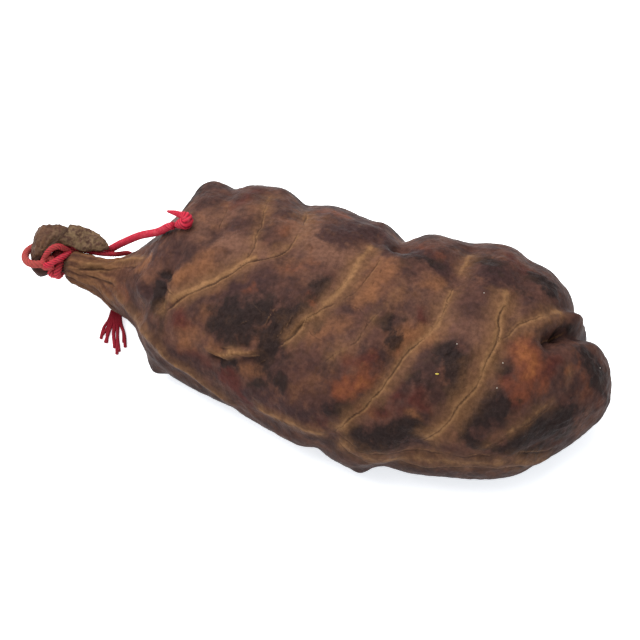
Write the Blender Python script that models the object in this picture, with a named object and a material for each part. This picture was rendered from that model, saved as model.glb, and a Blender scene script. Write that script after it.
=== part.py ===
"""Botillo: smoked, cured meat in a whole pig's caecum, its neck tied off with red cotton string.

The sausage lies on its flattened belly with its length along X: the tied neck points to -X, the blunt
end to +X, and the flank that the eye meets first faces -Y. The origin is on the surface that it lies
on, under the middle of the casing. Sizes are in millimetres until a mesh is made.
"""
import math

import bmesh
import bpy
import numpy as np

MM = 0.001
MIDDLE = np.array([-3.3, -0.6, 0.0])    # the middle of the casing's box, which becomes the origin

# The stuffed body, as sections across X, from the neck to the blunt end. The columns are x, the near
# and the far flank's y, the height of the widest point, the crown's height, and the height that the
# underside would reach if the surface it lies on did not flatten it.
BODY_SECTIONS = (
    (-117, -7.6, 5.8, 19.0, 27.2, 12.9),
    (-110, -8.2, 6.2, 18, 27.2, 11.4),
    (-102, -9.5, 8, 17, 28, 9.3),
    (-94, -13, 11, 17, 31.5, 7),
    (-86, -17, 17, 19, 38, 5.5),
    (-78, -22, 27, 22, 47, 3),
    (-71, -30, 40, 25, 56, 0),
    (-63, -38, 52, 27, 62, -4),
    (-50, -43, 56, 28, 66, -7),
    (-30, -47.5, 55.5, 29, 69, -8),
    (-5, -54, 54.5, 30, 72, -8),
    (32, -61, 55, 30, 72, -8),
    (68, -53, 59, 30, 72, -8),
    (87, -48.5, 56.5, 30, 70, -7),
    (102, -40.5, 45, 30, 64, -5),
    (114, -26.5, 32, 29, 56, -1),
    (123, -13.5, 24.5, 28, 48.5, 5),
    (130, -3.5, 15.5, 27, 39, 14),
    (132.8, 4, 6, 26, 27, 25),
)
SQUARENESS = 2.2          # power of the sections' rounded outline: 2 is an ellipse
FLOOR_ROUNDING = 3.0      # how gradually the belly meets the surface that it lies on

# The gathered end beyond the body, as sections along its own path: through the tie, up, and folded
# back over the neck in two lobes. The columns are the section's centre x, y and z, its half width,
# its half thickness, and the lean of its width from level, in degrees.
TAIL_SECTIONS = (
    (-120.2, -1.5, 19.0, 5.4, 5.8, 0),
    (-121.1, -1.6, 18.9, 3.6, 3.7, 0),
    (-122.3, -1.7, 18.8, 2.4, 2.4, 0),
    (-125.8, -1.9, 18.8, 2.2, 2.2, 0),
    (-129.0, -2.0, 18.8, 2.4, 2.4, 0),
    (-130.6, -2.1, 18.9, 4.0, 3.2, 0),
    (-132.8, -2.3, 19.5, 5.6, 3.3, 0),
    (-135.0, -1.8, 21.8, 5.6, 3.1, 8),
    (-135.5, -0.8, 26.0, 6.2, 3.0, 20),
    (-133.6, 1.4, 30.5, 6.6, 3.0, 30),
    (-130.3, 2.6, 32.5, 6.0, 2.8, 34),
    (-126.8, 4.7, 33.2, 4.9, 2.2, 34),
    (-123.0, 5.7, 32.5, 4.0, 2.0, 34),
    (-118.9, 7.0, 32.4, 4.6, 2.2, 33),
    (-114.7, 7.7, 31.3, 5.0, 2.3, 30),
    (-110.3, 8.4, 30.5, 4.2, 2.1, 24),
    (-105.6, 8.4, 29.2, 2.2, 1.3, 14),
    (-103.7, 8.2, 28.6, 0.5, 0.5, 8),
)

# The casing's creases, where its bands of muscle draw it in between the bulging pockets of meat. Each
# is a line on the skin, given by x and by the angle round the section in degrees: 0 is the far flank,
# 90 the crown and 180 the near flank. After the line come its depth and the half width of its valley.
CREASES = (
    (((-22, -40), (-20, 34), (-14, 66), (-15, 88), (-25, 95), (-41, 118), (-59, 141)), 3.0, 8),
    (((-50, -20), (-55, 34), (-51, 66), (-46, 92)), 2.4, 6),
    (((-30, -20), (-37, 36), (-32, 67), (-28, 92), (-31, 104)), 0.9, 5),
    (((30, -40), (26, 30), (23, 52), (20, 74), (16, 97), (11, 110), (3, 127), (-5, 148)), 2.4, 8),
    (((34, -30), (28, 34), (31, 62)), 6.5, 8),
    (((12, -20), (9, 46)), 1.6, 13),
    (((52, -40), (54, 20), (58, 54)), 2.2, 14),
    (((58, 54), (59, 92), (57, 106), (49, 122), (45, 139), (38, 155), (29, 176), (12, 230)), 3.6, 8),
    (((82, -40), (85, 75), (86, 110), (77, 148), (52, 200), (40, 250)), 3.0, 9),
    (((85, 106), (91, 92), (99, 79), (106, 58), (109, 36), (112, 0)), 2.4, 5),
    (((90, 170), (103, 148), (117, 131)), 1.2, 7),
    (((-44, 186), (20, 182), (70, 181), (112, 174)), 0.8, 6),
    (((-60, 108), (-66, 132), (-74, 162)), 3.0, 6),
    (((-30, 250), (-24, 215), (-14, 190)), 1.5, 8),
)
# The deep cleft that splits the blunt end, in the same terms.
CLEFT = (((104, 92), (108, 82), (112, 72), (115, 60), (118, 40), (121, 10)), 6.8, 4.8)
# Where single pockets of filling swell the skin: x, angle, radius and height.
SWELLS = (
    (-65, 42, 8, 3.2),
    (-35, 38, 9, 2.6),
    (-62, 210, 5, 4.0),
    (41, 211, 5, 3.5),
    (113, 50, 5, 1.5),
)

# The neck's lengthwise pleats.
PLEATS = 11
PLEAT_SHARE = 0.07          # of the distance from the section's middle
PLEATS_END_X = -84

BODY_RINGS = 78
TAIL_RINGS_PER_SECTION = 2
RING_POINTS = 46

# The string: twisted cotton, doubled except along its short end.
STRING_RADIUS = 1.8
SHORT_END_RADIUS = 1.2
GAP = 0.3
PINCHED_NECK_RADIUS = 2.4
WRAP_RADIUS = PINCHED_NECK_RADIUS + GAP + STRING_RADIUS
WRAP_CENTRES = ((-124.1, -1.8, 18.8), (-127.5, -1.9, 18.8))
WRAP_LEAN = math.radians(9)
WRAP_POINTS = 20
KNOT_CENTRE = (-127.6, -6.7, 25.5)
KNOT_HALF_SIZE = (3.6, 2.6, 2.9)

# The loop from the knot round the folded end and back to the top of the wraps.
LOOP_ROUTE = (
    (-128.4, -7.6, 25.7), (-132.4, -9.4, 25.6), (-136.6, -8.9, 24.6), (-140.2, -5.6, 23.2),
    (-141.6, -0.8, 21.8), (-140.4, 4.6, 20.0), (-137.2, 7.4, 18.8), (-132.8, 7.2, 19.4),
    (-129.2, 4.6, 22.0), (-127.6, 1.0, 25.0),
)
# The doubled long end, from behind the folded tail to the stop knot on the shoulder.
LONG_END_ROUTE = (
    (-124.5, 6.2, 23.4), (-118.0, 8.8, 22.4), (-111.5, 10.8, 21.8), (-105.8, 12.0, 23.2),
    (-101.4, 11.6, 27.8), (-97.0, 10.6, 33.0), (-87.0, 9.4, 43.0), (-75.6, 5.7, 53.9),
    (-69.2, 4.1, 61.4), (-66.4, 4.0, 63.6),
)
# The single short end, over the neck, down behind it and out underneath along the floor.
SHORT_END_ROUTE = (
    (-127.2, 2.9, 27.7), (-123.8, 4.2, 27.4), (-120.3, 4.5, 27.4), (-115.6, 5.0, 26.7),
    (-110.2, 5.9, 26.0), (-104.4, 7.2, 25.8), (-100.0, 9.8, 24.6), (-97.0, 13.8, 22.0),
    (-95.4, 16.0, 16.4), (-95.2, 13.6, 8.6), (-95.8, 8.0, 3.2), (-96.4, 2.0, 1.3), (-96.6, -4.0, 1.3),
)
# The stop knot, as points along its axis with the radius there: entry, lump, then its pointed end.
STOP_KNOT = (
    (-64.8, 4.3, 64.2, 1.4), (-62.6, 4.3, 65.9, 2.4), (-60.2, 4.8, 67.3, 3.0),
    (-61.0, 6.6, 68.2, 2.5), (-64.0, 7.6, 67.6, 1.6), (-67.4, 8.4, 66.8, 1.2),
    (-71.0, 9.0, 65.8, 0.6),
)
# The frayed tassel: the root that its strands share, and the tip of each strand.
TASSEL_ROOT = (-96.5, -5.6, 1.5)
TASSEL_TIPS = ((-97.2, -21.2, 0.9), (-92.6, -22.4, 0.8), (-90.0, -24.6, 0.9), (-86.2, -27.0, 0.9),
               (-85.4, -21.8, 0.8))
TASSEL_ROOT_RADIUS = 1.25
TASSEL_TIP_RADIUS = 0.75

# Base colours as linear red, green and blue.
CASING_COLOUR = (0.115, 0.052, 0.026, 1.0)
STRING_COLOUR = (0.42, 0.022, 0.040, 1.0)


def curve_through(rows, t):
    """Reads a smooth (Catmull-Rom) curve through the rows at the places t, counted in rows."""
    rows = np.array(rows, float)
    i = np.clip(t.astype(int), 0, len(rows) - 2)
    f = (t - i)[:, None]
    padded = np.vstack([2 * rows[0] - rows[1], rows, 2 * rows[-1] - rows[-2]])
    a, b, c, d = padded[i], padded[i + 1], padded[i + 2], padded[i + 3]
    return 0.5 * (2 * b + (c - a) * f + (2 * a - 5 * b + 4 * c - d) * f**2 + (3 * b - a - 3 * c + d) * f**3)


def in_metres(points):
    """Places in metres from the origin, for points in the working millimetres."""
    return (np.asarray(points) - MIDDLE) * MM


def evenly_spaced(rows, count, columns):
    """Places t, counted in rows, that part the curve through the named columns into equal lengths."""
    t = np.linspace(0, len(rows) - 1, 1500)
    line = curve_through(rows, t)[:, columns]
    length = np.concatenate([[0], np.cumsum(np.linalg.norm(np.diff(line, axis=0), axis=1))])
    return np.interp(np.linspace(0, length[-1], count), length, t)


def body_surface(t, angle):
    """The body's points before creases: at each place t, a rounded section at the given angles."""
    x, near, far, middle, top, bottom = curve_through(BODY_SECTIONS, t).T[:, :, None]
    c, s = np.cos(angle), np.sin(angle)
    across = np.sign(c) * np.abs(c) ** (2 / SQUARENESS)
    upward = np.sign(s) * np.abs(s) ** (2 / SQUARENESS)
    y = (far + near) / 2 + (far - near) / 2 * across
    z = middle + np.where(upward > 0, top - middle, middle - bottom) * upward
    return np.stack([x + 0 * y, y, z], -1)


def tail_surface(t, angle):
    """The gathered end: an ellipse carried along its path, square to the path and leaning as given."""
    rows = curve_through(TAIL_SECTIONS, t)
    step = 0.01
    last = len(TAIL_SECTIONS) - 1
    path = rows[:, :3]
    ahead = curve_through(TAIL_SECTIONS, np.minimum(t + step, last))[:, :3]
    behind = curve_through(TAIL_SECTIONS, np.maximum(t - step, 0))[:, :3]
    along = ahead - behind
    along /= np.linalg.norm(along, axis=1)[:, None]
    side = np.array([0.0, 1.0, 0.0]) - along * along[:, 1:2]
    side /= np.linalg.norm(side, axis=1)[:, None]
    up = np.cross(side, along)
    lean = np.radians(rows[:, 5])[:, None]
    width_way = np.cos(lean) * side - np.sin(lean) * up
    thick_way = np.sin(lean) * side + np.cos(lean) * up
    c, s = np.cos(angle)[None, :, None], np.sin(angle)[None, :, None]
    width, thick = rows[:, 3][:, None, None], rows[:, 4][:, None, None]
    return path[:, None] + width * c * width_way[:, None] + thick * s * thick_way[:, None]


def outward_normals(grid):
    """Unit normals of a grid of rings, from its neighbours along and round, pointing out of it."""
    along = np.gradient(grid, axis=0)
    around = (np.roll(grid, -1, 1) - np.roll(grid, 1, 1)) / 2
    normal = np.cross(around, along)
    return normal / np.maximum(np.linalg.norm(normal, axis=2), 1e-9)[:, :, None]


def distance_to_line(points, line):
    """Distance from each point to the nearest segment of a line of points."""
    best = np.full(points.shape[:-1], np.inf)
    for a, b in zip(line[:-1], line[1:]):
        d = b - a
        f = np.clip(((points - a) @ d) / (d @ d), 0, 1)
        best = np.minimum(best, np.linalg.norm(points - (a + f[..., None] * d), axis=-1))
    return best


def line_on_skin(points):
    """Carries a crease's (x, angle) points onto the body's surface as a smooth line."""
    t_fine = np.linspace(0, len(BODY_SECTIONS) - 1, 2000)
    x_fine = curve_through(BODY_SECTIONS, t_fine)[:, 0]
    smooth = curve_through(points, np.linspace(0, len(points) - 1, 24))
    t = np.interp(smooth[:, 0], x_fine, t_fine)
    angle = np.radians(smooth[:, 1])
    return np.array([body_surface(t[i:i + 1], angle[i:i + 1])[0, 0] for i in range(len(t))])


def crease_depth(points):
    """How far the creases draw the skin in: at each line a valley with a narrow groove at its foot."""
    depth = np.zeros(points.shape[:-1])
    for line, deep, wide in CREASES + (CLEFT,):
        away = distance_to_line(points, line_on_skin(line)) / wide
        depth = np.maximum(depth, deep * (0.6 * np.exp(-away**2) + 0.4 * np.exp(-((away * 2.4) ** 2))))
    return depth


def swelling(points):
    """How far the swells push the skin out."""
    height = np.zeros(points.shape[:-1])
    for x, angle, radius, rise in SWELLS:
        away = np.linalg.norm(points - line_on_skin([(x, angle), (x, angle)])[0], axis=-1)
        height += rise * np.exp(-((away / radius) ** 2))
    return height


def lay_on_floor(z):
    """Flattens what would pass below the floor, with a gentle turn where the skin meets it."""
    turn = (z + FLOOR_ROUNDING) ** 2 / (4 * FLOOR_ROUNDING)
    return np.where(z < -FLOOR_ROUNDING, 0.0, np.where(z > FLOOR_ROUNDING, z, turn))


def casing_rings():
    """All rings of the casing, from the tip of the folded tail to the blunt end."""
    angle = np.linspace(0, 2 * math.pi, RING_POINTS, endpoint=False)
    body = body_surface(evenly_spaced(BODY_SECTIONS, BODY_RINGS, [0, 4]), angle)
    last = len(TAIL_SECTIONS) - 1
    tail = tail_surface(np.linspace(0, last, last * TAIL_RINGS_PER_SECTION + 1), angle)
    grid = np.concatenate([tail[::-1], body])
    neck = np.clip((PLEATS_END_X - grid[..., 0]) / 12, 0, 1)
    relief = swelling(grid) - crease_depth(grid)
    relief[:len(tail)] = 0
    reach = np.linalg.norm(grid - grid.mean(1, keepdims=True), axis=2)
    relief += neck * PLEAT_SHARE * reach * np.cos(PLEATS * angle)
    grid = grid + outward_normals(grid) * relief[..., None]
    grid[..., 2] = lay_on_floor(grid[..., 2])
    return grid


def rings_to_mesh(name, rings):
    """Skins a grid of rings with quads and closes each end with a fan round its middle."""
    count, around = rings.shape[:2]
    points = np.concatenate([rings.reshape(-1, 3), [rings[0].mean(0)], [rings[-1].mean(0)]])
    first, last = count * around, count * around + 1
    faces = []
    for i in range(count - 1):
        for j in range(around):
            k = (j + 1) % around
            faces.append((i * around + j, (i + 1) * around + j, (i + 1) * around + k, i * around + k))
    for j in range(around):
        k = (j + 1) % around
        faces.append((first, j, k))
        faces.append((last, (count - 1) * around + k, (count - 1) * around + j))
    mesh = bpy.data.meshes.new(name)
    mesh.from_pydata(in_metres(points).tolist(), [], faces)
    tidy = bmesh.new()
    tidy.from_mesh(mesh)
    bmesh.ops.recalc_face_normals(tidy, faces=tidy.faces)
    tidy.to_mesh(mesh)
    tidy.free()
    return mesh


def smooth_route(points, spacing):
    """Points about a spacing apart on a smooth curve through the route's own points."""
    t = np.linspace(0, len(points) - 1, 400)
    columns = [0, 1, 2]
    length = np.linalg.norm(np.diff(curve_through(points, t)[:, columns], axis=0), axis=1).sum()
    return curve_through(points, evenly_spaced(points, max(4, round(length / spacing)), columns))


def strand(name, points, radius, closed=False):
    """A tube along points in millimetres: one radius for all of them, or one for each."""
    radii = np.broadcast_to(radius, len(points))
    curve = bpy.data.curves.new(name, "CURVE")
    curve.dimensions = "3D"
    curve.bevel_depth = MM
    curve.bevel_resolution = 2
    curve.use_fill_caps = True
    spline = curve.splines.new("POLY")
    spline.points.add(len(points) - 1)
    spline.use_cyclic_u = closed
    for point, place, r in zip(spline.points, in_metres(points), radii):
        point.co = (*place, 1)
        point.radius = r
    return bpy.data.objects.new(name, curve)


def as_mesh(item, collection):
    """Turns a tube into a closed mesh object of the same name."""
    name = item.name
    collection.objects.link(item)
    bpy.context.view_layer.update()
    evaluated = item.evaluated_get(bpy.context.evaluated_depsgraph_get())
    mesh = bpy.data.meshes.new_from_object(evaluated)
    bpy.data.objects.remove(item)
    weld = bmesh.new()
    weld.from_mesh(mesh)
    bmesh.ops.remove_doubles(weld, verts=weld.verts, dist=0.00001)
    bmesh.ops.recalc_face_normals(weld, faces=weld.faces)
    weld.to_mesh(mesh)
    weld.free()
    made = bpy.data.objects.new(name, mesh)
    collection.objects.link(made)
    return made


def lump(name, centre, half_size, collection):
    """A rounded lump with the given half sizes."""
    mesh = bpy.data.meshes.new(name)
    ball = bmesh.new()
    bmesh.ops.create_uvsphere(ball, u_segments=16, v_segments=10, radius=1)
    bmesh.ops.scale(ball, vec=[h * MM for h in half_size], verts=ball.verts)
    bmesh.ops.translate(ball, vec=in_metres(centre), verts=ball.verts)
    ball.to_mesh(mesh)
    ball.free()
    made = bpy.data.objects.new(name, mesh)
    collection.objects.link(made)
    return made


def fuse(name, pieces, scraps):
    """Joins overlapping pieces into one closed body by one Boolean union on their collection."""
    base = pieces[0]
    scraps.objects.unlink(base)
    bpy.context.scene.collection.objects.link(base)
    union = base.modifiers.new("union", "BOOLEAN")
    union.operation = "UNION"
    union.operand_type = "COLLECTION"
    union.collection = scraps
    bpy.context.view_layer.update()
    evaluated = base.evaluated_get(bpy.context.evaluated_depsgraph_get())
    mesh = bpy.data.meshes.new_from_object(evaluated)
    mesh.name = name
    for piece in pieces:
        bpy.data.objects.remove(piece)
    return mesh


def wrap_ring(centre, lean):
    """One turn of string round the pinched neck, leaning a little off square."""
    angle = np.linspace(0, 2 * math.pi, WRAP_POINTS, endpoint=False)
    y, z = WRAP_RADIUS * np.cos(angle), WRAP_RADIUS * np.sin(angle)
    return np.array(centre) + np.stack([math.sin(lean) * z, y, math.cos(lean) * z], -1)


def material(name, colour, roughness):
    """A plain finish for one sub-part."""
    made = bpy.data.materials.new(name)
    made.use_nodes = True
    shader = made.node_tree.nodes["Principled BSDF"]
    shader.inputs["Base Color"].default_value = colour
    shader.inputs["Roughness"].default_value = roughness
    shader.inputs["Metallic"].default_value = 0.0
    return made


def place(name, mesh, finish, collection):
    """Puts a finished sub-part into the object's collection."""
    mesh.materials.clear()
    mesh.materials.append(finish)
    mesh.shade_smooth()
    item = bpy.data.objects.new(name, mesh)
    collection.objects.link(item)
    return item


def place_tube(name, route, radius, finish, collection):
    """Puts a plain length of string, which stays a curve, into the object's collection."""
    item = strand(name, smooth_route(route, 5 * radius), radius)
    item.data.materials.append(finish)
    collection.objects.link(item)
    return item


def build():
    for old in list(bpy.data.objects):
        bpy.data.objects.remove(old)
    parts = bpy.data.collections.new("botillo_sausage")
    scraps = bpy.data.collections.new("shapes_to_fuse")
    for collection in (parts, scraps):
        bpy.context.scene.collection.children.link(collection)

    place("casing", rings_to_mesh("casing", casing_rings()),
          material("smoked_casing", CASING_COLOUR, 0.45), parts)

    tie = [as_mesh(strand("wrap_1", wrap_ring(WRAP_CENTRES[0], WRAP_LEAN), STRING_RADIUS, True), scraps),
           as_mesh(strand("wrap_2", wrap_ring(WRAP_CENTRES[1], -WRAP_LEAN), STRING_RADIUS, True), scraps),
           as_mesh(strand("loop", smooth_route(LOOP_ROUTE, 4), STRING_RADIUS), scraps),
           lump("knot", KNOT_CENTRE, KNOT_HALF_SIZE, scraps)]
    place("string_tie", fuse("string_tie", tie, scraps),
          material("tie_cotton", STRING_COLOUR, 0.8), parts)

    place_tube("string_long_end", LONG_END_ROUTE, STRING_RADIUS,
               material("long_end_cotton", STRING_COLOUR, 0.8), parts)
    place_tube("string_short_end", SHORT_END_ROUTE, SHORT_END_RADIUS,
               material("short_end_cotton", STRING_COLOUR, 0.8), parts)

    knot = curve_through(STOP_KNOT, np.linspace(0, len(STOP_KNOT) - 1, 16))
    place("stop_knot", as_mesh(strand("stop_knot_shape", knot[:, :3], knot[:, 3]), scraps).data,
          material("knot_cotton", STRING_COLOUR, 0.8), parts)
    bpy.data.objects.remove(bpy.data.objects["stop_knot_shape"])

    root = np.array(TASSEL_ROOT)
    frays = []
    for i, tip in enumerate(TASSEL_TIPS):
        share = np.linspace(0, 1, 6)[:, None]
        line = root + (np.array(tip) - root) * share
        taper = TASSEL_ROOT_RADIUS + (TASSEL_TIP_RADIUS - TASSEL_ROOT_RADIUS) * share[:, 0]
        frays.append(as_mesh(strand(f"fray_{i}", line, taper), scraps))
    place("tassel", fuse("tassel", frays, scraps), material("tassel_cotton", STRING_COLOUR, 0.85), parts)


build()
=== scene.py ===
"""Looks of a botillo: smoked, cured meat in a whole pig's caecum, its neck tied off with red cotton string.

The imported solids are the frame. Their fine surfaces are worked out here: the skin with its ribs, creases
and mottled meat, the gathered end, and the laid string. Lengths are in working millimetres, the ones that
the solids were drawn in, and in_metres moves them to the frame.
"""
import math

import bpy
import numpy as np
from mathutils import Matrix, Vector
from mathutils.bvhtree import BVHTree


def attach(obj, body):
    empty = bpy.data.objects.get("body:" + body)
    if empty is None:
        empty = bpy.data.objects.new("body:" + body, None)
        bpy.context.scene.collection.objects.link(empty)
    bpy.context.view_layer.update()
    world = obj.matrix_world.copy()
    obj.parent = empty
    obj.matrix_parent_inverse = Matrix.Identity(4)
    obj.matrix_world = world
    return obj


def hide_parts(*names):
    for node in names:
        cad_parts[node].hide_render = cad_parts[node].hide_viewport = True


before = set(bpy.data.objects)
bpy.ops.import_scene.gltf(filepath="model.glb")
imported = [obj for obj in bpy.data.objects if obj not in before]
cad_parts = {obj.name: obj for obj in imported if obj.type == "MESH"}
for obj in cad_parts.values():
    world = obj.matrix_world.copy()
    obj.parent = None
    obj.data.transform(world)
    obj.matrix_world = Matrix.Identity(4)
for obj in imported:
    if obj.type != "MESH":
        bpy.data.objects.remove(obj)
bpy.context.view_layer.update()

# The view of the photo. The camera stands in front of the sausage and looks steeply down on it, from 20
# degrees round towards the blunt end, through a long lens that keeps its shape free of distortion.
MM = 0.001
MIDDLE = np.array([-3.3, -0.6, 0.0])      # the middle of the casing's box, which is the frame's origin
PHOTO_SIZE = 640
AZIMUTH, ELEVATION = math.radians(20), math.radians(52)
AIM = np.array([3.0, 0.0, 32.0])
DISTANCE = 650.0
SENSOR_WIDTH = 36.0
LENS = 83.1
FOCAL_PIXELS = LENS / SENSOR_WIDTH * PHOTO_SIZE

towards_eye = np.array([math.sin(AZIMUTH) * math.cos(ELEVATION), -math.cos(AZIMUTH) * math.cos(ELEVATION),
                        math.sin(ELEVATION)])
view_right = np.array([math.cos(AZIMUTH), math.sin(AZIMUTH), 0.0])
view_up = np.cross(towards_eye, view_right)
eye = AIM + towards_eye * DISTANCE


def in_metres(points):
    """Places in metres in the frame, for points in working millimetres."""
    return (np.asarray(points) - MIDDLE) * MM


camera = bpy.data.objects.new("camera", bpy.data.cameras.new("camera"))
camera.data.lens = LENS
camera.data.sensor_width = SENSOR_WIDTH
camera.matrix_world = Matrix.Translation(Vector(in_metres(eye))) @ Matrix(
    np.column_stack([view_right, view_up, towards_eye]).tolist()).to_4x4()
bpy.context.scene.collection.objects.link(camera)
bpy.context.scene.camera = camera
bpy.context.scene.view_settings.view_transform = "Standard"


# The floor and the light. The sausage lies on matt white paper under one large soft light, which hangs
# above it and a little to the left of the camera, with pale walls all round, as in a bright shop photo.
FLOOR_HALF = 1.6
FLOOR_DROP = 0.0002                     # keeps the floor clear of the belly that lies on it
PAPER_GLOW = 0.7                        # the paper is lit from behind, as on a light table
WALL_GLOW = 0.6


def linear(hex_colour):
    """Linear red, green and blue with full alpha, for an sRGB hex value."""
    srgb = np.array([int(hex_colour[i:i + 2], 16) for i in (1, 3, 5)]) / 255
    rgb = np.where(srgb <= 0.04045, srgb / 12.92, ((srgb + 0.055) / 1.055) ** 2.4)
    return (*rgb.tolist(), 1.0)


def add(tree, kind, inputs=None, output=0, **settings):
    """Adds a node with its settings and returns one of its outputs. Each input is a value for the socket or
    another node's output."""
    made = tree.nodes.new(kind)
    for key, value in settings.items():
        setattr(made, key, value)
    for key, value in (inputs or {}).items():
        if isinstance(value, bpy.types.NodeSocket):
            tree.links.new(value, made.inputs[key])
        else:
            made.inputs[key].default_value = value
    return made.outputs[output] if made.outputs else None


def new_material(name):
    """A material and its tree, which starts empty."""
    made = bpy.data.materials.new(name)
    made.use_nodes = True
    made.node_tree.nodes.clear()
    return made, made.node_tree


def new_mesh(name, points, faces, smooth=True):
    """An object at the origin from points in working millimetres and an array of faces."""
    mesh = bpy.data.meshes.new(name)
    mesh.from_pydata(in_metres(points).tolist(), [], faces if isinstance(faces, list) else faces.tolist())
    if smooth:
        mesh.shade_smooth()
    made = bpy.data.objects.new(name, mesh)
    bpy.context.scene.collection.objects.link(made)
    return made


corners = np.array([[-1, -1], [1, -1], [1, 1], [-1, 1]]) * FLOOR_HALF
floor_points = np.column_stack([corners, np.full(4, -FLOOR_DROP)]) / MM + MIDDLE
floor = new_mesh("floor", floor_points, [(0, 1, 2, 3)], smooth=False)
# Matt paper: it scatters the light evenly and shows only the sausage's soft shadow.
matt_white, tree = new_material("matt_white_paper")
white = add(tree, "ShaderNodeBsdfDiffuse", {"Color": linear("#f2f2f2")})
glow = add(tree, "ShaderNodeEmission", {"Color": linear("#f6faff"), "Strength": PAPER_GLOW})
add(tree, "ShaderNodeOutputMaterial", {"Surface": add(tree, "ShaderNodeAddShader", {0: white, 1: glow})})
floor.data.materials.append(matt_white)

world = bpy.data.worlds.new("studio")
world.use_nodes = True
world.node_tree.nodes["Background"].inputs["Color"].default_value = linear("#fbfdff")
world.node_tree.nodes["Background"].inputs["Strength"].default_value = WALL_GLOW
bpy.context.scene.world = world


def soft_light(name, place, size, power):
    """A square area light at a place in metres, turned to the middle of the sausage."""
    light = bpy.data.lights.new(name, "AREA")
    light.size = size
    light.energy = power
    made = bpy.data.objects.new(name, light)
    aim = Vector((0, 0, 0.03)) - Vector(place)
    made.matrix_world = Matrix.Translation(Vector(place)) @ aim.to_track_quat("-Z", "Y").to_matrix().to_4x4()
    bpy.context.scene.collection.objects.link(made)


soft_light("overhead", (-0.45, 0.1, 1.2), 1.5, 28.0)


# The casing: a whole caecum, stuffed until it bulges in pockets between its bands of muscle, then smoked
# and dried to a thin, leathery, half-clear skin. It is one surface, as rings round the sausage's length.

# Each body section is x, the near and the far flank's y, the height of the widest point, the crown's
# height, and the height that the underside would reach if the floor did not flatten it.
BODY_SECTIONS = (
    (-117, -7.6, 5.8, 19.0, 27.2, 12.9),
    (-110, -8.2, 6.2, 18, 27.2, 11.4),
    (-102, -9.5, 8, 17, 28, 9.3),
    (-94, -13, 11, 17, 31.5, 7),
    (-86, -17, 17, 19, 38, 5.5),
    (-78, -22, 27, 22, 47, 3),
    (-71, -30, 40, 25, 56, 0),
    (-63, -38, 52, 27, 62, -4),
    (-50, -43, 56, 28, 66, -7),
    (-30, -47.5, 55.5, 29, 69, -8),
    (-5, -54, 54.5, 30, 72, -8),
    (32, -61, 55, 30, 72, -8),
    (68, -53, 59, 30, 72, -8),
    (87, -48.5, 56.5, 30, 70, -7),
    (102, -40.5, 45, 30, 64, -5),
    (114, -26.5, 32, 29, 56, -1),
    (123, -13.5, 24.5, 28, 48.5, 5),
    (130, -3.5, 15.5, 27, 39, 14),
    (132.8, 4, 6, 26, 27, 25),
)
SQUARENESS = 2.2
FLOOR_ROUNDING = 3.0
# The gathered end's sections along its own path: through the tie, up, and folded back over the neck. The
# columns are the centre's x, y and z, half the width, half the thickness, and the width's lean in degrees.
TAIL_SECTIONS = (
    (-120.2, -1.5, 19.0, 5.4, 5.8, 0),
    (-121.1, -1.6, 18.9, 3.6, 3.7, 0),
    (-122.3, -1.7, 18.8, 2.4, 2.4, 0),
    (-125.8, -1.9, 18.8, 2.2, 2.2, 0),
    (-129.0, -2.0, 18.8, 2.4, 2.4, 0),
    (-130.6, -2.1, 18.9, 4.0, 3.2, 0),
    (-132.8, -2.3, 19.5, 5.6, 3.3, 0),
    (-135.0, -1.8, 21.8, 5.6, 3.1, 8),
    (-135.5, -0.8, 26.0, 6.2, 3.0, 20),
    (-133.6, 1.4, 30.5, 6.6, 3.0, 30),
    (-130.3, 2.6, 32.5, 6.0, 2.8, 34),
    (-126.8, 4.7, 33.2, 4.9, 2.2, 34),
    (-123.0, 5.7, 32.5, 4.0, 2.0, 34),
    (-118.9, 7.0, 32.4, 4.6, 2.2, 33),
    (-114.7, 7.7, 31.3, 5.0, 2.3, 30),
    (-110.3, 8.4, 30.5, 4.2, 2.1, 24),
    (-105.6, 8.4, 29.2, 2.2, 1.3, 14),
    (-103.7, 8.2, 28.6, 0.5, 0.5, 8),
)
BODY_RINGS = 352
TAIL_RINGS = 216
AROUND = 262
CROWN_SHARE = 0.35          # how much closer the rings' points lie on the crown than on the belly

# The valleys between the pockets of meat: a line on the skin as x and the angle round the section in
# degrees (0 the far flank, 90 the crown, 180 the near flank), then the depth and the half width in mm.
VALLEYS = (
    (((-22, -40), (-20, 34), (-14, 66), (-15, 88), (-25, 95), (-41, 118), (-59, 141)), 3.0, 8),
    (((-50, -20), (-55, 34), (-51, 66), (-46, 92)), 2.4, 6),
    (((-30, -20), (-37, 36), (-32, 67), (-28, 92), (-31, 104)), 0.9, 5),
    (((30, -40), (26, 30), (23, 52), (20, 74), (16, 97), (11, 110), (3, 127), (-5, 148)), 2.4, 8),
    (((34, -30), (28, 34), (31, 62)), 6.5, 8),
    (((12, -20), (9, 46)), 1.6, 13),
    (((52, -40), (54, 20), (58, 54)), 2.2, 14),
    (((58, 54), (59, 92), (57, 106), (49, 122), (45, 139), (38, 155), (29, 176), (12, 230)), 3.6, 8),
    (((82, -40), (85, 75), (86, 110), (77, 148), (52, 200), (40, 250)), 3.0, 9),
    (((85, 106), (91, 92), (99, 79), (106, 58), (109, 36), (112, 0)), 2.4, 5),
    (((90, 170), (103, 148), (117, 131)), 1.2, 7),
    (((-44, 186), (20, 182), (70, 181), (112, 174)), 0.8, 6),
    (((-60, 108), (-66, 132), (-74, 162)), 3.0, 6),
    (((-30, 250), (-24, 215), (-14, 190)), 1.5, 8),
    (((104, 92), (108, 82), (112, 72), (115, 60), (118, 40), (121, 10)), 6.8, 4.8),
)
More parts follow.
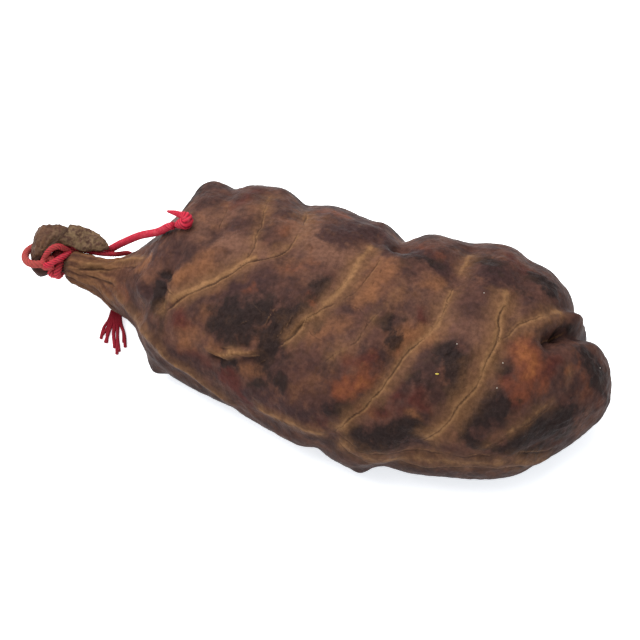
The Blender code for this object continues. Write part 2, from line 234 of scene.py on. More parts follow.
# Swells of the filling, as x, angle, radius and height in mm.
SWELLS = (
    (-65, 42, 8, 3.2),
    (-35, 38, 9, 2.6),
    (-62, 210, 5, 4.0),
    (41, 211, 5, 3.5),
    (113, 50, 5, 1.5),
)
# The ribs: pale bands of gut that stand a little proud, as pixels of the photo along each, then the
# height and the half width in mm and the strength of their tan from 0 to 1.
RIBS = (
    (((226, 195), (224, 207), (218, 223), (216, 231)), 0.2, 2.4, 0.35),
    (((271, 192), (265, 207), (260, 226), (255, 241), (247, 254)), 0.3, 3, 0.5),
    (((307, 202), (303, 222), (294, 238), (275, 250), (256, 257)), 0.4, 3.5, 0.5),
    (((262, 251), (248, 258), (229, 269), (210, 280), (191, 289), (173, 298), (161, 306)), 1.3, 3.2, 1),
    (((378, 238), (365, 252), (350, 275), (339, 290), (327, 302), (315, 313), (302, 324), (289, 337),
      (277, 351)), 1.2, 3, 0.85),
    (((385, 254), (372, 271), (355, 289), (337, 302)), 0.3, 2.7, 0.4),
    (((406, 271), (397, 292), (381, 310), (367, 326), (354, 343), (334, 355), (315, 369)), 0.4, 2.7, 0.4),
    (((454, 277), (447, 298), (442, 312), (432, 327), (414, 344), (401, 359), (391, 375), (379, 392),
      (367, 406), (357, 417), (342, 427), (329, 440)), 0.7, 3, 0.75),
    (((474, 245), (462, 264), (454, 277)), 0.6, 2.7, 0.7),
    (((508, 282), (506, 300), (501, 315), (498, 340), (488, 360), (480, 377), (472, 390), (462, 404),
      (446, 427), (430, 440), (418, 449)), 1, 4.1, 0.9),
    (((568, 309), (550, 312), (537, 316), (523, 321), (511, 332), (499, 341)), 0.6, 3.2, 0.75),
    (((424, 342), (436, 337), (452, 336)), 0.3, 1.6, 0.5),
    (((329, 440), (344, 449), (361, 456), (378, 459), (403, 463), (440, 463), (480, 463), (534, 460),
      (573, 448)), 0.5, 4.3, 0.6),
    (((250, 406), (281, 419), (307, 431), (329, 441)), 0.8, 2.4, 0.75),
    (((563, 400), (553, 404), (535, 415), (517, 427), (499, 439), (476, 453)), 0.5, 2.2, 0.55),
    (((573, 448), (554, 454), (535, 461), (509, 465)), 0.4, 2, 0.4),
    (((112, 290), (126, 303), (140, 325), (155, 342), (170, 358), (188, 371), (212, 390), (240, 409)),
     1.5, 2.8, 0.65),
    (((571, 354), (569, 373), (562, 392)), 0.3, 2.2, 0.4),
    (((152, 325), (160, 305), (168, 293), (160, 284)), 0.4, 3.5, 0.6),
    (((74, 265), (90, 265), (108, 264), (128, 261), (148, 258)), 0.9, 1.7, 0.9),
    (((84, 272), (100, 271), (116, 272)), 0.5, 0.9, 0.6),
    (((70, 276), (84, 282), (98, 291)), 0.5, 1.6, 0.3),
    (((43, 229), (38, 241), (35, 254)), 0.9, 0.8, 0.7),
    (((51, 228), (44, 241), (38, 254)), 0.9, 0.8, 0.6),
    (((58, 229), (50, 240), (42, 252)), 0.7, 0.8, 0.4),
    (((201, 344), (210, 350), (222, 355), (236, 354), (250, 353), (264, 349)), 2.2, 1.0, 1),
    (((222, 343), (228, 350), (240, 352), (256, 350)), 1.1, 1.2, 0.9),
)
# The fine creases beside the ribs, along the neck and on the folded end, as pixels of the photo, then the
# depth and the half width in mm.
CREASES = (
    (((226, 197), (224, 207), (218, 223), (216, 231)), 0.5, 0.8),
    (((271, 194), (265, 207), (260, 226), (255, 241), (247, 254), (239, 262)), 0.5, 0.8),
    (((306, 207), (302, 221), (295, 235), (288, 245), (275, 252), (255, 258), (245, 262), (222, 276),
      (204, 286), (185, 295), (165, 309), (159, 315)), 1.0, 0.9),
    (((339, 300), (321, 308), (306, 320), (290, 336), (275, 350)), 1.2, 1.2),
    (((385, 254), (372, 271), (355, 289), (338, 302)), 0.6, 0.8),
    (((357, 256), (349, 273), (338, 288), (330, 296)), 0.5, 0.7),
    (((406, 271), (397, 292), (381, 310), (367, 326), (354, 343), (334, 355), (315, 369)), 0.6, 0.8),
    (((339, 302), (353, 305), (363, 313), (367, 324), (364, 334)), 0.5, 0.7),
    (((454, 279), (447, 298), (442, 312), (432, 327), (414, 344), (401, 359), (391, 375), (379, 392),
      (367, 406), (357, 417), (342, 427), (329, 440)), 0.9, 0.8),
    (((424, 342), (436, 337), (452, 336)), 0.5, 0.7),
    (((511, 296), (501, 314), (498, 340), (488, 360), (480, 377), (472, 390), (462, 404), (446, 427),
      (430, 440), (420, 448)), 1.0, 0.8),
    (((550, 312), (537, 316), (523, 321), (511, 332), (499, 340)), 0.8, 0.8),
    (((545, 342), (550, 340), (557, 336), (568, 332), (576, 328)), 2.5, 1.8),
    (((334, 445), (360, 460), (380, 464), (403, 468), (440, 469), (480, 469), (534, 465)), 0.8, 1.0),
    (((329, 436), (361, 451), (380, 454), (420, 457), (470, 457), (530, 454), (560, 446)), 0.7, 0.9),
    (((563, 404), (540, 416), (517, 431), (499, 443), (480, 455)), 0.6, 0.7),
    (((203, 349), (212, 355), (222, 360), (236, 360), (252, 358), (264, 354)), 2.0, 1.1),
    (((214, 346), (226, 349), (240, 347), (252, 345)), 1.4, 0.9),
    (((256, 342), (262, 330), (270, 318), (280, 306)), 0.9, 0.8),
    (((262, 344), (270, 332), (279, 320)), 0.6, 0.6),
    (((265, 306), (272, 313), (275, 318)), 0.6, 0.6),
    (((252, 372), (262, 362), (270, 355), (277, 352)), 1.0, 0.8),
    (((160, 283), (166, 290), (172, 296)), 1.0, 0.9),
    (((243, 256), (250, 245), (255, 232)), 0.4, 0.5),
    (((365, 252), (352, 262), (340, 280)), 0.4, 0.5),
    (((388, 262), (376, 280), (366, 296)), 0.4, 0.5),
    (((306, 320), (312, 334), (322, 342), (333, 344)), 0.4, 0.5),
    (((449, 300), (452, 316), (446, 330)), 0.35, 0.5),
    (((252, 345), (258, 336), (263, 325)), 0.7, 0.6),
    (((240, 310), (250, 305), (258, 310), (264, 318)), 0.6, 0.6),
    (((234, 330), (246, 322), (258, 322)), 0.5, 0.6),
    (((270, 344), (282, 330), (292, 318), (296, 306)), 0.6, 0.6),
    (((68, 269), (84, 269), (104, 269), (124, 268), (140, 265)), 2.2, 1.1),
    (((68, 274), (86, 276), (104, 281), (118, 287)), 1.2, 0.8),
    (((71, 255), (70, 266), (70, 278)), 0.6, 2.6),
    (((47, 230), (41, 241), (37, 253)), 2.4, 0.9),
    (((54, 229), (47, 240), (40, 252)), 2.6, 0.9),
    (((40, 230), (36, 241), (33, 252)), 2.0, 0.9),
)
# The line, in pixels, along which the folded end's second lobe laps over its first, by how many mm, the
# pixels over which the lap thins out, and the half width in pixels and the strength of the painted shadow
# along its edge.
LOBE_FOLD = np.array([(42.0, 252.7), (68.0, 229.0)])
LOBE_OVERLAP = 1.5
LOBE_THINS_OVER = 10
LOBE_EDGE_HALF, LOBE_EDGE_PAINTED_SHADOW = 1.9, 0.9
# Bumps and pits, as the pixel at the middle, the radius and the height in mm.
BUMPS = (
    (143, 288, 6.0, 4.0),
    (43, 269, 3.5, 2.6),
    (71, 258, 3.5, 1.1),
    (78, 257, 4.0, 1.0),
    (90, 258, 4.0, 1.0),
    (575, 319, 4.5, 3.0),
    (164, 272, 2.6, -2.5),
    (160, 288, 3.0, -3.0),
    (156, 299, 2.4, -2.0),
    (402, 242, 4.0, -3.0),
    (566, 333, 2.6, -3.0),
)
# What shows on the skin and through it, as patches from pixel to pixel with a half width in pixels and a
# strength: pale dry bloom, which also paints the sheen of the light on the top faces, lean meat smoked
# almost black, plum-coloured meat, amber fat, fat stained by paprika, and red meat.
PATCHES = {
    # Painted sheen: the pale bloom patches lie mostly where the top faces catch the overhead light.
    "bloom": (
        (300, 226, 340, 256, 18, 1.25), (226, 242, 250, 256, 14, 1.25), (198, 226, 240, 206, 13, 0.8),
        (430, 288, 462, 326, 14, 0.7), (476, 336, 506, 308, 11, 0.8), (342, 250, 384, 262, 12, 0.6),
        (300, 255, 320, 290, 9, 0.6), (172, 340, 206, 346, 8, 0.6), (338, 338, 356, 344, 8, 0.6),
        (110, 262, 140, 262, 4, 0.9), (86, 270, 100, 276, 5, 0.6), (420, 300, 400, 320, 9, 0.5),
        (455, 285, 470, 262, 7, 0.5), (380, 455, 520, 455, 4, 0.5), (262, 214, 290, 196, 8, 0.4),
    ),
    "lean": (
        (232, 322, 250, 318, 20, 1.0), (285, 328, 296, 318, 14, 0.9), (312, 298, 322, 284, 9, 0.7),
        (152, 296, 150, 312, 7, 1.0), (224, 363, 236, 362, 6, 1.0), (268, 360, 282, 380, 9, 0.8),
        (256, 380, 284, 388, 7, 0.6), (274, 346, 300, 312, 11, 1.1), (164, 270, 168, 276, 4, 1.0),
        (157, 284, 157, 304, 5, 1.0), (502, 446, 540, 448, 6, 0.8), (356, 440, 418, 434, 12, 1.0),
        (378, 400, 388, 432, 8, 0.6), (449, 362, 458, 384, 13, 1.0), (476, 412, 500, 408, 13, 1.0),
        (470, 434, 492, 444, 9, 0.9), (468, 418, 474, 438, 8, 0.9), (518, 438, 562, 422, 14, 1.0),
        (500, 366, 494, 360, 8, 0.8), (584, 358, 598, 374, 9, 0.9), (414, 256, 440, 264, 10, 0.55),
        (478, 258, 494, 266, 13, 0.55), (386, 322, 390, 336, 8, 0.9), (160, 372, 174, 376, 8, 0.9),
        (318, 404, 338, 412, 9, 0.7), (555, 440, 575, 410, 12, 0.6), (402, 244, 404, 246, 6, 1.0),
        (566, 333, 574, 329, 4, 1.0), (540, 275, 556, 292, 10, 0.9), (300, 196, 312, 210, 7, 0.6),
        (270, 300, 262, 306, 10, 0.6), (415, 385, 425, 372, 10, 0.6), (532, 292, 520, 284, 9, 0.5),
        (605, 400, 600, 380, 6, 0.5),
    ),
    "plum": (
        (226, 284, 262, 276, 12, 0.9), (160, 350, 190, 372, 12, 1.0), (296, 392, 322, 404, 11, 0.8),
        (234, 226, 244, 220, 8, 0.7), (262, 196, 270, 200, 9, 0.7), (292, 210, 300, 214, 8, 0.8),
        (266, 240, 282, 232, 9, 0.6), (336, 236, 366, 224, 15, 1.0), (386, 236, 396, 244, 9, 0.9),
        (420, 248, 444, 264, 12, 1.0), (484, 270, 502, 268, 13, 1.0), (116, 280, 130, 288, 6, 0.8),
        (140, 284, 147, 297, 7, 0.8), (440, 392, 452, 404, 9, 0.7), (213, 252, 226, 250, 7, 0.5),
        (190, 302, 204, 291, 9, 0.9), (150, 256, 170, 250, 10, 0.6), (214, 187, 236, 190, 7, 0.8),
        (344, 318, 356, 320, 8, 0.6), (484, 288, 502, 287, 6, 0.6), (460, 300, 492, 312, 14, 0.5),
        (330, 262, 346, 268, 7, 0.5), (284, 350, 300, 350, 8, 0.5), (200, 262, 214, 256, 5, 0.4),
        (306, 236, 312, 244, 6, 0.5), (560, 396, 572, 404, 10, 0.5), (585, 345, 600, 400, 8, 0.6),
        (250, 390, 300, 412, 9, 0.9), (330, 420, 356, 432, 9, 0.8), (540, 300, 560, 310, 8, 0.6),
        (140, 322, 152, 350, 6, 0.6), (430, 350, 415, 372, 10, 0.5), (350, 402, 370, 400, 6, 0.5),
        (205, 196, 200, 206, 7, 0.5), (560, 270, 566, 300, 7, 0.7), (512, 262, 540, 290, 12, 0.4),
        (330, 356, 300, 372, 7, 0.5),
    ),
    "amber": (
        (180, 276, 204, 262, 9, 0.9), (200, 256, 208, 252, 7, 0.7), (196, 216, 204, 220, 6, 0.5),
        (214, 292, 222, 286, 6, 0.5), (364, 292, 386, 268, 10, 1.0), (203, 318, 208, 310, 7, 0.6),
        (180, 342, 192, 338, 7, 0.7), (208, 346, 218, 350, 6, 0.8), (246, 366, 262, 360, 6, 0.8),
        (312, 336, 340, 320, 9, 0.7), (425, 284, 440, 282, 6, 0.8), (394, 334, 428, 332, 9, 1.3),
        (412, 414, 418, 420, 5, 0.9), (96, 264, 148, 261, 4, 1.0), (290, 262, 308, 258, 8, 0.5),
        (300, 392, 322, 384, 7, 0.5), (256, 366, 270, 372, 4, 0.7), (520, 330, 540, 330, 6, 0.5),
        (380, 300, 400, 290, 8, 0.4), (246, 276, 270, 268, 7, 0.35),
    ),
    "paprika": (
        (340, 388, 370, 378, 8, 1.0), (320, 208, 342, 214, 7, 0.6), (296, 268, 314, 262, 9, 0.45),
        (242, 292, 250, 290, 4, 0.9), (308, 296, 310, 302, 4, 1.0), (276, 226, 296, 222, 8, 0.4),
        (428, 244, 440, 252, 8, 0.5), (396, 342, 428, 330, 5, 0.5), (522, 352, 536, 372, 13, 0.95),
        (512, 382, 534, 388, 11, 0.6), (100, 284, 126, 297, 6, 0.8), (360, 372, 380, 362, 6, 0.5),
        (458, 416, 468, 410, 4, 0.8), (516, 392, 545, 390, 8, 0.7), (362, 410, 376, 412, 6, 0.35),
        (584, 384, 596, 398, 9, 0.35), (394, 336, 398, 348, 5, 0.7), (574, 356, 570, 380, 4, 0.45),
        (438, 440, 448, 430, 6, 0.5), (376, 418, 382, 424, 5, 0.8),
    ),
    "blood": (
        (238, 200, 262, 192, 8, 0.6), (374, 222, 386, 230, 7, 0.6), (172, 318, 184, 330, 8, 0.8),
        (228, 376, 246, 396, 10, 1.0), (416, 244, 430, 250, 7, 0.7), (418, 310, 428, 314, 6, 0.7),
        (400, 396, 424, 402, 8, 0.8), (364, 408, 384, 415, 7, 0.9), (350, 362, 372, 356, 7, 0.6),
        (512, 256, 534, 268, 10, 0.6), (502, 374, 520, 396, 8, 0.7), (536, 380, 556, 366, 10, 0.7),
        (262, 400, 320, 424, 8, 0.5), (456, 400, 466, 392, 5, 0.4), (380, 406, 400, 412, 7, 0.5),
        (180, 350, 200, 364, 9, 0.5),
    ),
}


def curve_through(rows, t):
    """Reads a smooth (Catmull-Rom) curve through the rows at the places t, counted in rows."""
    rows = np.array(rows, float)
    i = np.clip(t.astype(int), 0, len(rows) - 2)
    f = (t - i)[:, None]
    padded = np.vstack([2 * rows[0] - rows[1], rows, 2 * rows[-1] - rows[-2]])
    a, b, c, d = padded[i], padded[i + 1], padded[i + 2], padded[i + 3]
    return 0.5 * (2 * b + (c - a) * f + (2 * a - 5 * b + 4 * c - d) * f**2 + (3 * b - a - 3 * c + d) * f**3)


def evenly_spaced(rows, count, columns):
    """Places t, counted in rows, that part the curve through the named columns into equal lengths."""
    t = np.linspace(0, len(rows) - 1, 1500)
    line = curve_through(rows, t)[:, columns]
    length = np.concatenate([[0], np.cumsum(np.linalg.norm(np.diff(line, axis=0), axis=1))])
    return np.interp(np.linspace(0, length[-1], count), length, t)


def body_surface(t, angle):
    """The body before relief: at each place t a rounded section, its y a power of the cosine of the angle
    between the flanks, its z a power of the sine between the crown and the underside."""
    x, near, far, middle, top, bottom = curve_through(BODY_SECTIONS, t).T[:, :, None]
    c, s = np.cos(angle), np.sin(angle)
    across = np.sign(c) * np.abs(c) ** (2 / SQUARENESS)
    upward = np.sign(s) * np.abs(s) ** (2 / SQUARENESS)
    y = (far + near) / 2 + (far - near) / 2 * across
    z = middle + np.where(upward > 0, top - middle, middle - bottom) * upward
    return np.stack([x + 0 * y, y, z], -1)


def tail_surface(t, angle):
    """The gathered end: an ellipse carried along its path, square to the path and leaning as given."""
    rows = curve_through(TAIL_SECTIONS, t)
    step = 0.01
    last = len(TAIL_SECTIONS) - 1
    path = rows[:, :3]
    ahead = curve_through(TAIL_SECTIONS, np.minimum(t + step, last))[:, :3]
    behind = curve_through(TAIL_SECTIONS, np.maximum(t - step, 0))[:, :3]
    along = ahead - behind
    along /= np.linalg.norm(along, axis=1)[:, None]
    side = np.array([0.0, 1.0, 0.0]) - along * along[:, 1:2]
    side /= np.linalg.norm(side, axis=1)[:, None]
    up = np.cross(side, along)
    lean = np.radians(rows[:, 5])[:, None]
    width_way = np.cos(lean) * side - np.sin(lean) * up
    thick_way = np.sin(lean) * side + np.cos(lean) * up
    c, s = np.cos(angle)[None, :, None], np.sin(angle)[None, :, None]
    width, thick = rows[:, 3][:, None, None], rows[:, 4][:, None, None]
    return path[:, None] + width * c * width_way[:, None] + thick * s * thick_way[:, None]


def outward_normals(grid):
    """Unit normals of a grid of rings, from its neighbours along and round, pointing out of it."""
    along = np.gradient(grid, axis=0)
    around = (np.roll(grid, -1, 1) - np.roll(grid, 1, 1)) / 2
    normal = np.cross(around, along)
    return normal / np.maximum(np.linalg.norm(normal, axis=2), 1e-9)[:, :, None]


def noise(points, size, seed):
    """Smooth noise from -1 to 1: seeded values at the corners of cubes of the given size in mm, eased
    between the corners by 3f^2 - 2f^3 along each axis."""
    cells = 24
    values = np.random.default_rng(seed).uniform(-1, 1, (cells, cells, cells))
    place = points / size + 100
    corner = np.floor(place).astype(int)
    ease = place - corner
    ease = ease * ease * (3 - 2 * ease)
    total = np.zeros(points.shape[:-1])
    for step in np.ndindex(2, 2, 2):
        weight = np.prod(np.where(step, ease, 1 - ease), axis=-1)
        i, j, k = np.moveaxis((corner + step) % cells, -1, 0)
        total += weight * values[i, j, k]
    return total


def layered(points, size, seed, layers):
    """Noise in layers, each half the size and half the strength of the one before."""
    return sum(noise(points, size / 2**n, seed + n) / 2**n for n in range(layers))


def wandered(points, size, strength, seed):
    """The points moved by up to the strength in mm, so that what is measured from them wanders."""
    return points + strength * np.stack([layered(points, size, seed + 10 * n, 2) for n in range(3)], -1)


def beside(points, line, reach):
    """Distance in mm from each point to a line of points, the reach where it is further, how far the
    nearest place is from the line's nearer end, and which side of the line the point is seen on, 1 or -1."""
    near = np.all((points > line.min(0) - reach) & (points < line.max(0) + reach), axis=-1)
    some = points[near]
    best = np.full(len(some), float(reach))
    place = np.zeros(len(some))
    side = np.ones(len(some))
    steps = np.linalg.norm(np.diff(line, axis=0), axis=1)
    start = np.concatenate([[0], np.cumsum(steps)])
    for n in range(len(steps)):
        d = line[n + 1] - line[n]
        f = np.clip(((some - line[n]) @ d) / max(d @ d, 1e-9), 0, 1)
        offset = some - (line[n] + f[:, None] * d)
        away = np.linalg.norm(offset, axis=1)
        nearer = away < best
        best[nearer] = away[nearer]
        side[nearer] = np.where(np.cross(d, offset[nearer]) @ towards_eye < 0, -1, 1)
        place[nearer] = start[n] + f[nearer] * steps[n]
    distance = np.full(points.shape[:-1], float(reach))
    from_end = np.zeros(points.shape[:-1])
    seen_side = np.ones(points.shape[:-1])
    distance[near] = best
    from_end[near] = np.minimum(place, start[-1] - place)
    seen_side[near] = side
    return distance, from_end, seen_side


def line_on_skin(points):
    """Carries a valley's (x, angle) points onto the body as a smooth line."""
    t_fine = np.linspace(0, len(BODY_SECTIONS) - 1, 2000)
    x_fine = curve_through(BODY_SECTIONS, t_fine)[:, 0]
    smooth = curve_through(points, np.linspace(0, len(points) - 1, 24))
    t = np.interp(smooth[:, 0], x_fine, t_fine)
    angle = np.radians(smooth[:, 1])
    return np.array([body_surface(t[i:i + 1], angle[i:i + 1])[0, 0] for i in range(len(t))])


def ring_faces(rings, around):
    """The quads between neighbouring rings, as an array, wound to face outwards."""
    i, j = np.meshgrid(np.arange(rings - 1), np.arange(around), indexing="ij")
    k = (j + 1) % around
    quads = [i * around + j, i * around + k, (i + 1) * around + k, (i + 1) * around + j]
    return np.stack(quads, -1).reshape(-1, 4)


def lay_on_floor(z):
    """Flattens what would pass below the floor, with a gentle turn where the skin meets it."""
    turn = (z + FLOOR_ROUNDING) ** 2 / (4 * FLOOR_ROUNDING)
    return np.where(z < -FLOOR_ROUNDING, 0.0, np.where(z > FLOOR_ROUNDING, z, turn))


share = np.linspace(0, 2 * math.pi, AROUND, endpoint=False)
angle = share + CROWN_SHARE * np.cos(share)
body = body_surface(evenly_spaced(BODY_SECTIONS, BODY_RINGS, [0, 4]), angle)
tail = tail_surface(evenly_spaced(TAIL_SECTIONS, TAIL_RINGS, [0, 1, 2]), angle)
skin = np.concatenate([tail[::-1], body])
on_body = np.arange(len(skin)) >= len(tail)
normals = outward_normals(skin)

tree_of_skin = BVHTree.FromPolygons(skin.reshape(-1, 3).tolist(), ring_faces(*skin.shape[:2]).tolist())


def on_skin(pixels, surface=tree_of_skin):
    """Where the photo's pixels fall on the skin: rays from the eye through each of them."""
    hits = []
    for px, py in pixels:
        ray = view_right * (px - PHOTO_SIZE / 2) - view_up * (py - PHOTO_SIZE / 2)
        ray = ray / FOCAL_PIXELS - towards_eye
        place = surface.ray_cast(Vector(eye), Vector(ray / np.linalg.norm(ray)))[0]
        if place is not None:
            hits.append(place)
    return np.array(hits)


def seen_line(pixels):
    """A smooth line on the skin under a line of the photo's pixels."""
    length = np.linalg.norm(np.diff(np.array(pixels), axis=0), axis=1).sum()
    places = np.linspace(0, len(pixels) - 1, max(6, int(length / 4)))
    return on_skin(curve_through(pixels, places))


def seen_at(points):
    """The photo's pixels at which points in working millimetres are seen."""
    offset = points - eye
    scale = FOCAL_PIXELS / -(offset @ towards_eye)
    return PHOTO_SIZE / 2 + np.stack([(offset @ view_right) * scale, -(offset @ view_up) * scale], -1)


END_FADE = 6.0              # the last millimetres of a rib or crease, over which it dies out
CREASE_REACH = 4.0          # how far beside a crease the skin still knows of it, in mm
CREASE_SHARE = 0.6          # the share of a crease's depth that is cut; its dark line of painted shade gives the rest
PIXEL_SIZE = DISTANCE / FOCAL_PIXELS          # mm on the skin
unsteady = wandered(skin, 7.0, 0.7, 11)                           # so that ribs and creases waver
ragged = wandered(wandered(skin, 11.0, 3.5, 51), 4.0, 1.2, 151)   # so that patches have uneven outlines
broken = np.clip(0.65 + 0.7 * noise(skin, 9.0, 31), 0.15, 1)      # creases come and go along their length
relief = np.zeros(skin.shape[:2])
valley = np.zeros(skin.shape[:2])
masks = {name: np.zeros(skin.shape[:2]) for name in ("rib", "rib_crest", "crease", *PATCHES)}
masks["beside_crease"] = np.full(skin.shape[:2], CREASE_REACH)    # signed mm, for a line finer than the mesh

for x, turn, radius, height in SWELLS:
    away = np.linalg.norm(skin - line_on_skin([(x, turn), (x, turn)])[0], axis=-1)
    relief += height * np.exp(-((away / radius) ** 2))
for line, deep, wide in VALLEYS:
    away = beside(skin, line_on_skin(line), 3 * wide)[0] / wide
    valley = np.maximum(valley, deep * (0.8 * np.exp(-away**2) + 0.2 * np.exp(-((away * 2.4) ** 2))))
relief -= valley
for pixels, height, wide, tan in RIBS:
    away, from_end, _ = beside(unsteady, seen_line(pixels), 5 * wide)
    fade = np.clip(from_end / END_FADE, 0, 1)
    relief += height * fade * np.exp(-((away / wide) ** 2))
    for name, breadth in (("rib", 1.7), ("rib_crest", 0.65)):
        masks[name] = np.maximum(masks[name], tan * fade * np.exp(-((away / (breadth * wide)) ** 2)))
# Each crease is cut to part of its depth; its mask paints shade into it in the material.
for pixels, deep, wide in CREASES:
    away, from_end, side = beside(unsteady, seen_line(pixels), CREASE_REACH)
    profile = np.clip(from_end / END_FADE, 0, 1) * np.exp(-((away / wide) ** 2)) * broken
    relief -= CREASE_SHARE * deep * profile
    masks["crease"] = np.maximum(masks["crease"], min(1.0, deep) * profile)
    nearer = away < np.abs(masks["beside_crease"])
    masks["beside_crease"][nearer] = (side * away)[nearer]

# The lap of the folded end: how far each point is seen beyond the fold's line, in pixels.
fold = LOBE_FOLD[1] - LOBE_FOLD[0]
from_fold = seen_at(skin[~on_body]) - LOBE_FOLD[0]
beyond = (fold[0] * from_fold[..., 1] - fold[1] * from_fold[..., 0]) / np.linalg.norm(fold)
lap = np.clip(0.5 + beyond, 0, 1) * np.exp(-np.maximum(0, beyond / LOBE_THINS_OVER))
relief[~on_body] += LOBE_OVERLAP * lap
# Painted shadow: a dark band where the lap overhangs, laid into the crease mask.
lap_painted_shadow = LOBE_EDGE_PAINTED_SHADOW * np.exp(-((beyond / LOBE_EDGE_HALF) ** 2))
masks["crease"][~on_body] = np.maximum(masks["crease"][~on_body], lap_painted_shadow)
for px, py, radius, height in BUMPS:
    away = np.linalg.norm(skin - on_skin([(px, py)])[0], axis=-1)
    relief += height * np.exp(-((away / radius) ** 2))


def show_through(kind, ends, wide, strength):
    """Lays a soft-edged patch of one kind of filling along the line between two places on the skin."""
    away = beside(ragged, ends, 3 * wide)[0] / wide
    masks[kind] = np.maximum(masks[kind], strength * np.exp(-0.6 * away**2))


for kind, rows in PATCHES.items():
    for x0, y0, x1, y1, half_width, strength in rows:
        ends = on_skin([(x0, y0), (x1, y1)])
        if len(ends) == 2:
            show_through(kind, ends, 1.15 * half_width * PIXEL_SIZE, strength)

# The sides that the photo doesn't show carry the same kinds of patches, strewn by a seeded draw.
HIDDEN_PATCHES = 110
draw = np.random.default_rng(7)
hidden = np.argwhere((normals @ towards_eye < 0.1) & on_body[:, None] & (skin[..., 0] > -90))
for _ in range(HIDDEN_PATCHES):
    middle_of_patch = skin[tuple(draw.choice(hidden))]
    stretch = draw.uniform(-1, 1, 3) * draw.uniform(2, 8)
    kind = draw.choice(list(PATCHES), p=[0.16, 0.28, 0.2, 0.12, 0.1, 0.14])
    show_through(kind, np.array([middle_of_patch - stretch, middle_of_patch + stretch]), draw.uniform(3, 7),
                 draw.uniform(0.6, 1.0))

# The neck's lengthwise pleats, and soft unevenness of the filling everywhere.
PLEATS = 11
PLEAT_SHARE = 0.07
PLEATS_END_X = -84
NECK_TONE_END_X = -76           # the neck is drier and lighter than the body up to here
FLARE_FROM_Z = 22               # and so is the folded end above here, most of all its second lobe
LEFT_LOBE_END_X = -130
neck = np.clip((PLEATS_END_X - skin[..., 0]) / 12, 0, 1)
reach = np.linalg.norm(skin - skin.mean(1, keepdims=True), axis=2)
drift = 2.2 * noise(skin, 8.0, 71)
strength = np.where(on_body, 0.7, 0.12)[:, None] * (0.6 + 0.4 * noise(skin, 6.0, 72))
pleats = strength * (np.cos(PLEATS * angle + drift) + 0.5 * np.cos(2.3 * PLEATS * angle + 3 * drift))
relief += neck * PLEAT_SHARE * reach * pleats
# Fine crumpling of the neck and folded end, then the filling's soft lumps, a net of shallow creases, and
# wrinkles that run along the ribs over lean meat.
relief += np.where(on_body, 0.25, 0.32)[:, None] * neck * layered(skin, 1.5, 95, 2)
relief += np.where(on_body, 1, 0.3)[:, None] * (1 - neck) * 0.8 * layered(skin, 17.0, 81, 3)
relief += (1 - 0.7 * neck) * 0.16 * (1 - 2 * np.abs(layered(skin, 4.0, 91, 2)))
slanted = np.stack([0.5 * (skin @ [0.55, 0.8, 0.2]), 1.7 * (skin @ [0.83, -0.55, 0.1]), skin[..., 2]], -1)
relief += 0.45 * masks["lean"] * (1 - 2 * np.abs(layered(slanted, 4.2, 191, 2)))

masks["neck"] = np.where(on_body, 1, 0)[:, None] * np.clip((NECK_TONE_END_X - skin[..., 0]) / 16, 0, 1)
# Painted shade: low in the pleats the neck turns brown, high on them it stays pale amber.
masks["pleat"] = np.clip(0.5 + 0.35 * pleats, 0, 1) * neck
lobe_share = 0.35 + 0.65 * np.clip((skin[..., 0] - LEFT_LOBE_END_X) / 8, 0, 1)
above = np.clip((skin[..., 2] - FLARE_FROM_Z) / 4, 0, 1)
masks["flare"] = np.where(on_body, 0, 1)[:, None] * above * lobe_share

skin = skin + normals * relief[..., None]
skin[..., 2] = lay_on_floor(skin[..., 2])


def closed_rings(name, rings):
    """A closed skin over a run of rings: quads between them, and a fan to the middle of each end."""
    count, around = rings.shape[:2]
    points = np.concatenate([rings.reshape(-1, 3), [rings[0].mean(0)], [rings[-1].mean(0)]])
    j = np.arange(around)
    k = (j + 1) % around
    first, last = count * around, count * around + 1
    end = (count - 1) * around
    fans = [np.stack([0 * j + first, k, j], -1), np.stack([0 * j + last, end + j, end + k], -1)]
    faces = ring_faces(count, around).tolist() + fans[0].tolist() + fans[1].tolist()
    return new_mesh(name, points, faces)


def keep_masks(item, rings_masks):
    """Stores each mask on the item's points, with the two end points at the mean of their rings."""
    for name, mask in rings_masks.items():
        values = np.concatenate([mask.ravel(), [mask[0].mean(), mask[-1].mean()]])
        item.data.attributes.new(name, "FLOAT", "POINT").data.foreach_set("value", values.astype(np.float32))


def mottle(tree, size_mm, detail, stretch=(1.0, 1.0, 1.0)):
    """Noise from 0 to 1 on Object coordinates, with blotches of about the given size before a stretch."""
    place = add(tree, "ShaderNodeTexCoord", output="Object")
    place = add(tree, "ShaderNodeMapping", {"Vector": place, "Scale": stretch})
    return add(tree, "ShaderNodeTexNoise", {"Vector": place, "Scale": 1 / (size_mm * MM), "Detail": detail,
               "Roughness": 0.6}, "Fac")


def cover(tree, mask, raggedness, noise, low, high, strength=1.0):
    """How much a mask on the mesh covers: with its share of the noise added, so that its edge is ragged, it
    rises from 0 to the strength between the two limits, by 3f^2 - 2f^3."""
    stored = add(tree, "ShaderNodeAttribute", output="Fac", attribute_name=mask)
    edge = add(tree, "ShaderNodeMath", {0: noise, 1: raggedness, 2: stored}, operation="MULTIPLY_ADD")
    return add(tree, "ShaderNodeMapRange", {"Value": edge, "From Min": low, "From Max": high,
               "To Max": strength}, interpolation_type="SMOOTHSTEP")


def painted(tree, colour, layers, noise):
    """Each layer's colour laid over the one below it where its mask covers."""
    for mask, hex_colour, raggedness, low, high, strength in layers:
        share = cover(tree, mask, raggedness, noise, low, high, strength)
        colour = add(tree, "ShaderNodeMix", {0: share, 6: colour, 7: linear(hex_colour)}, 2, data_type="RGBA")
    return colour
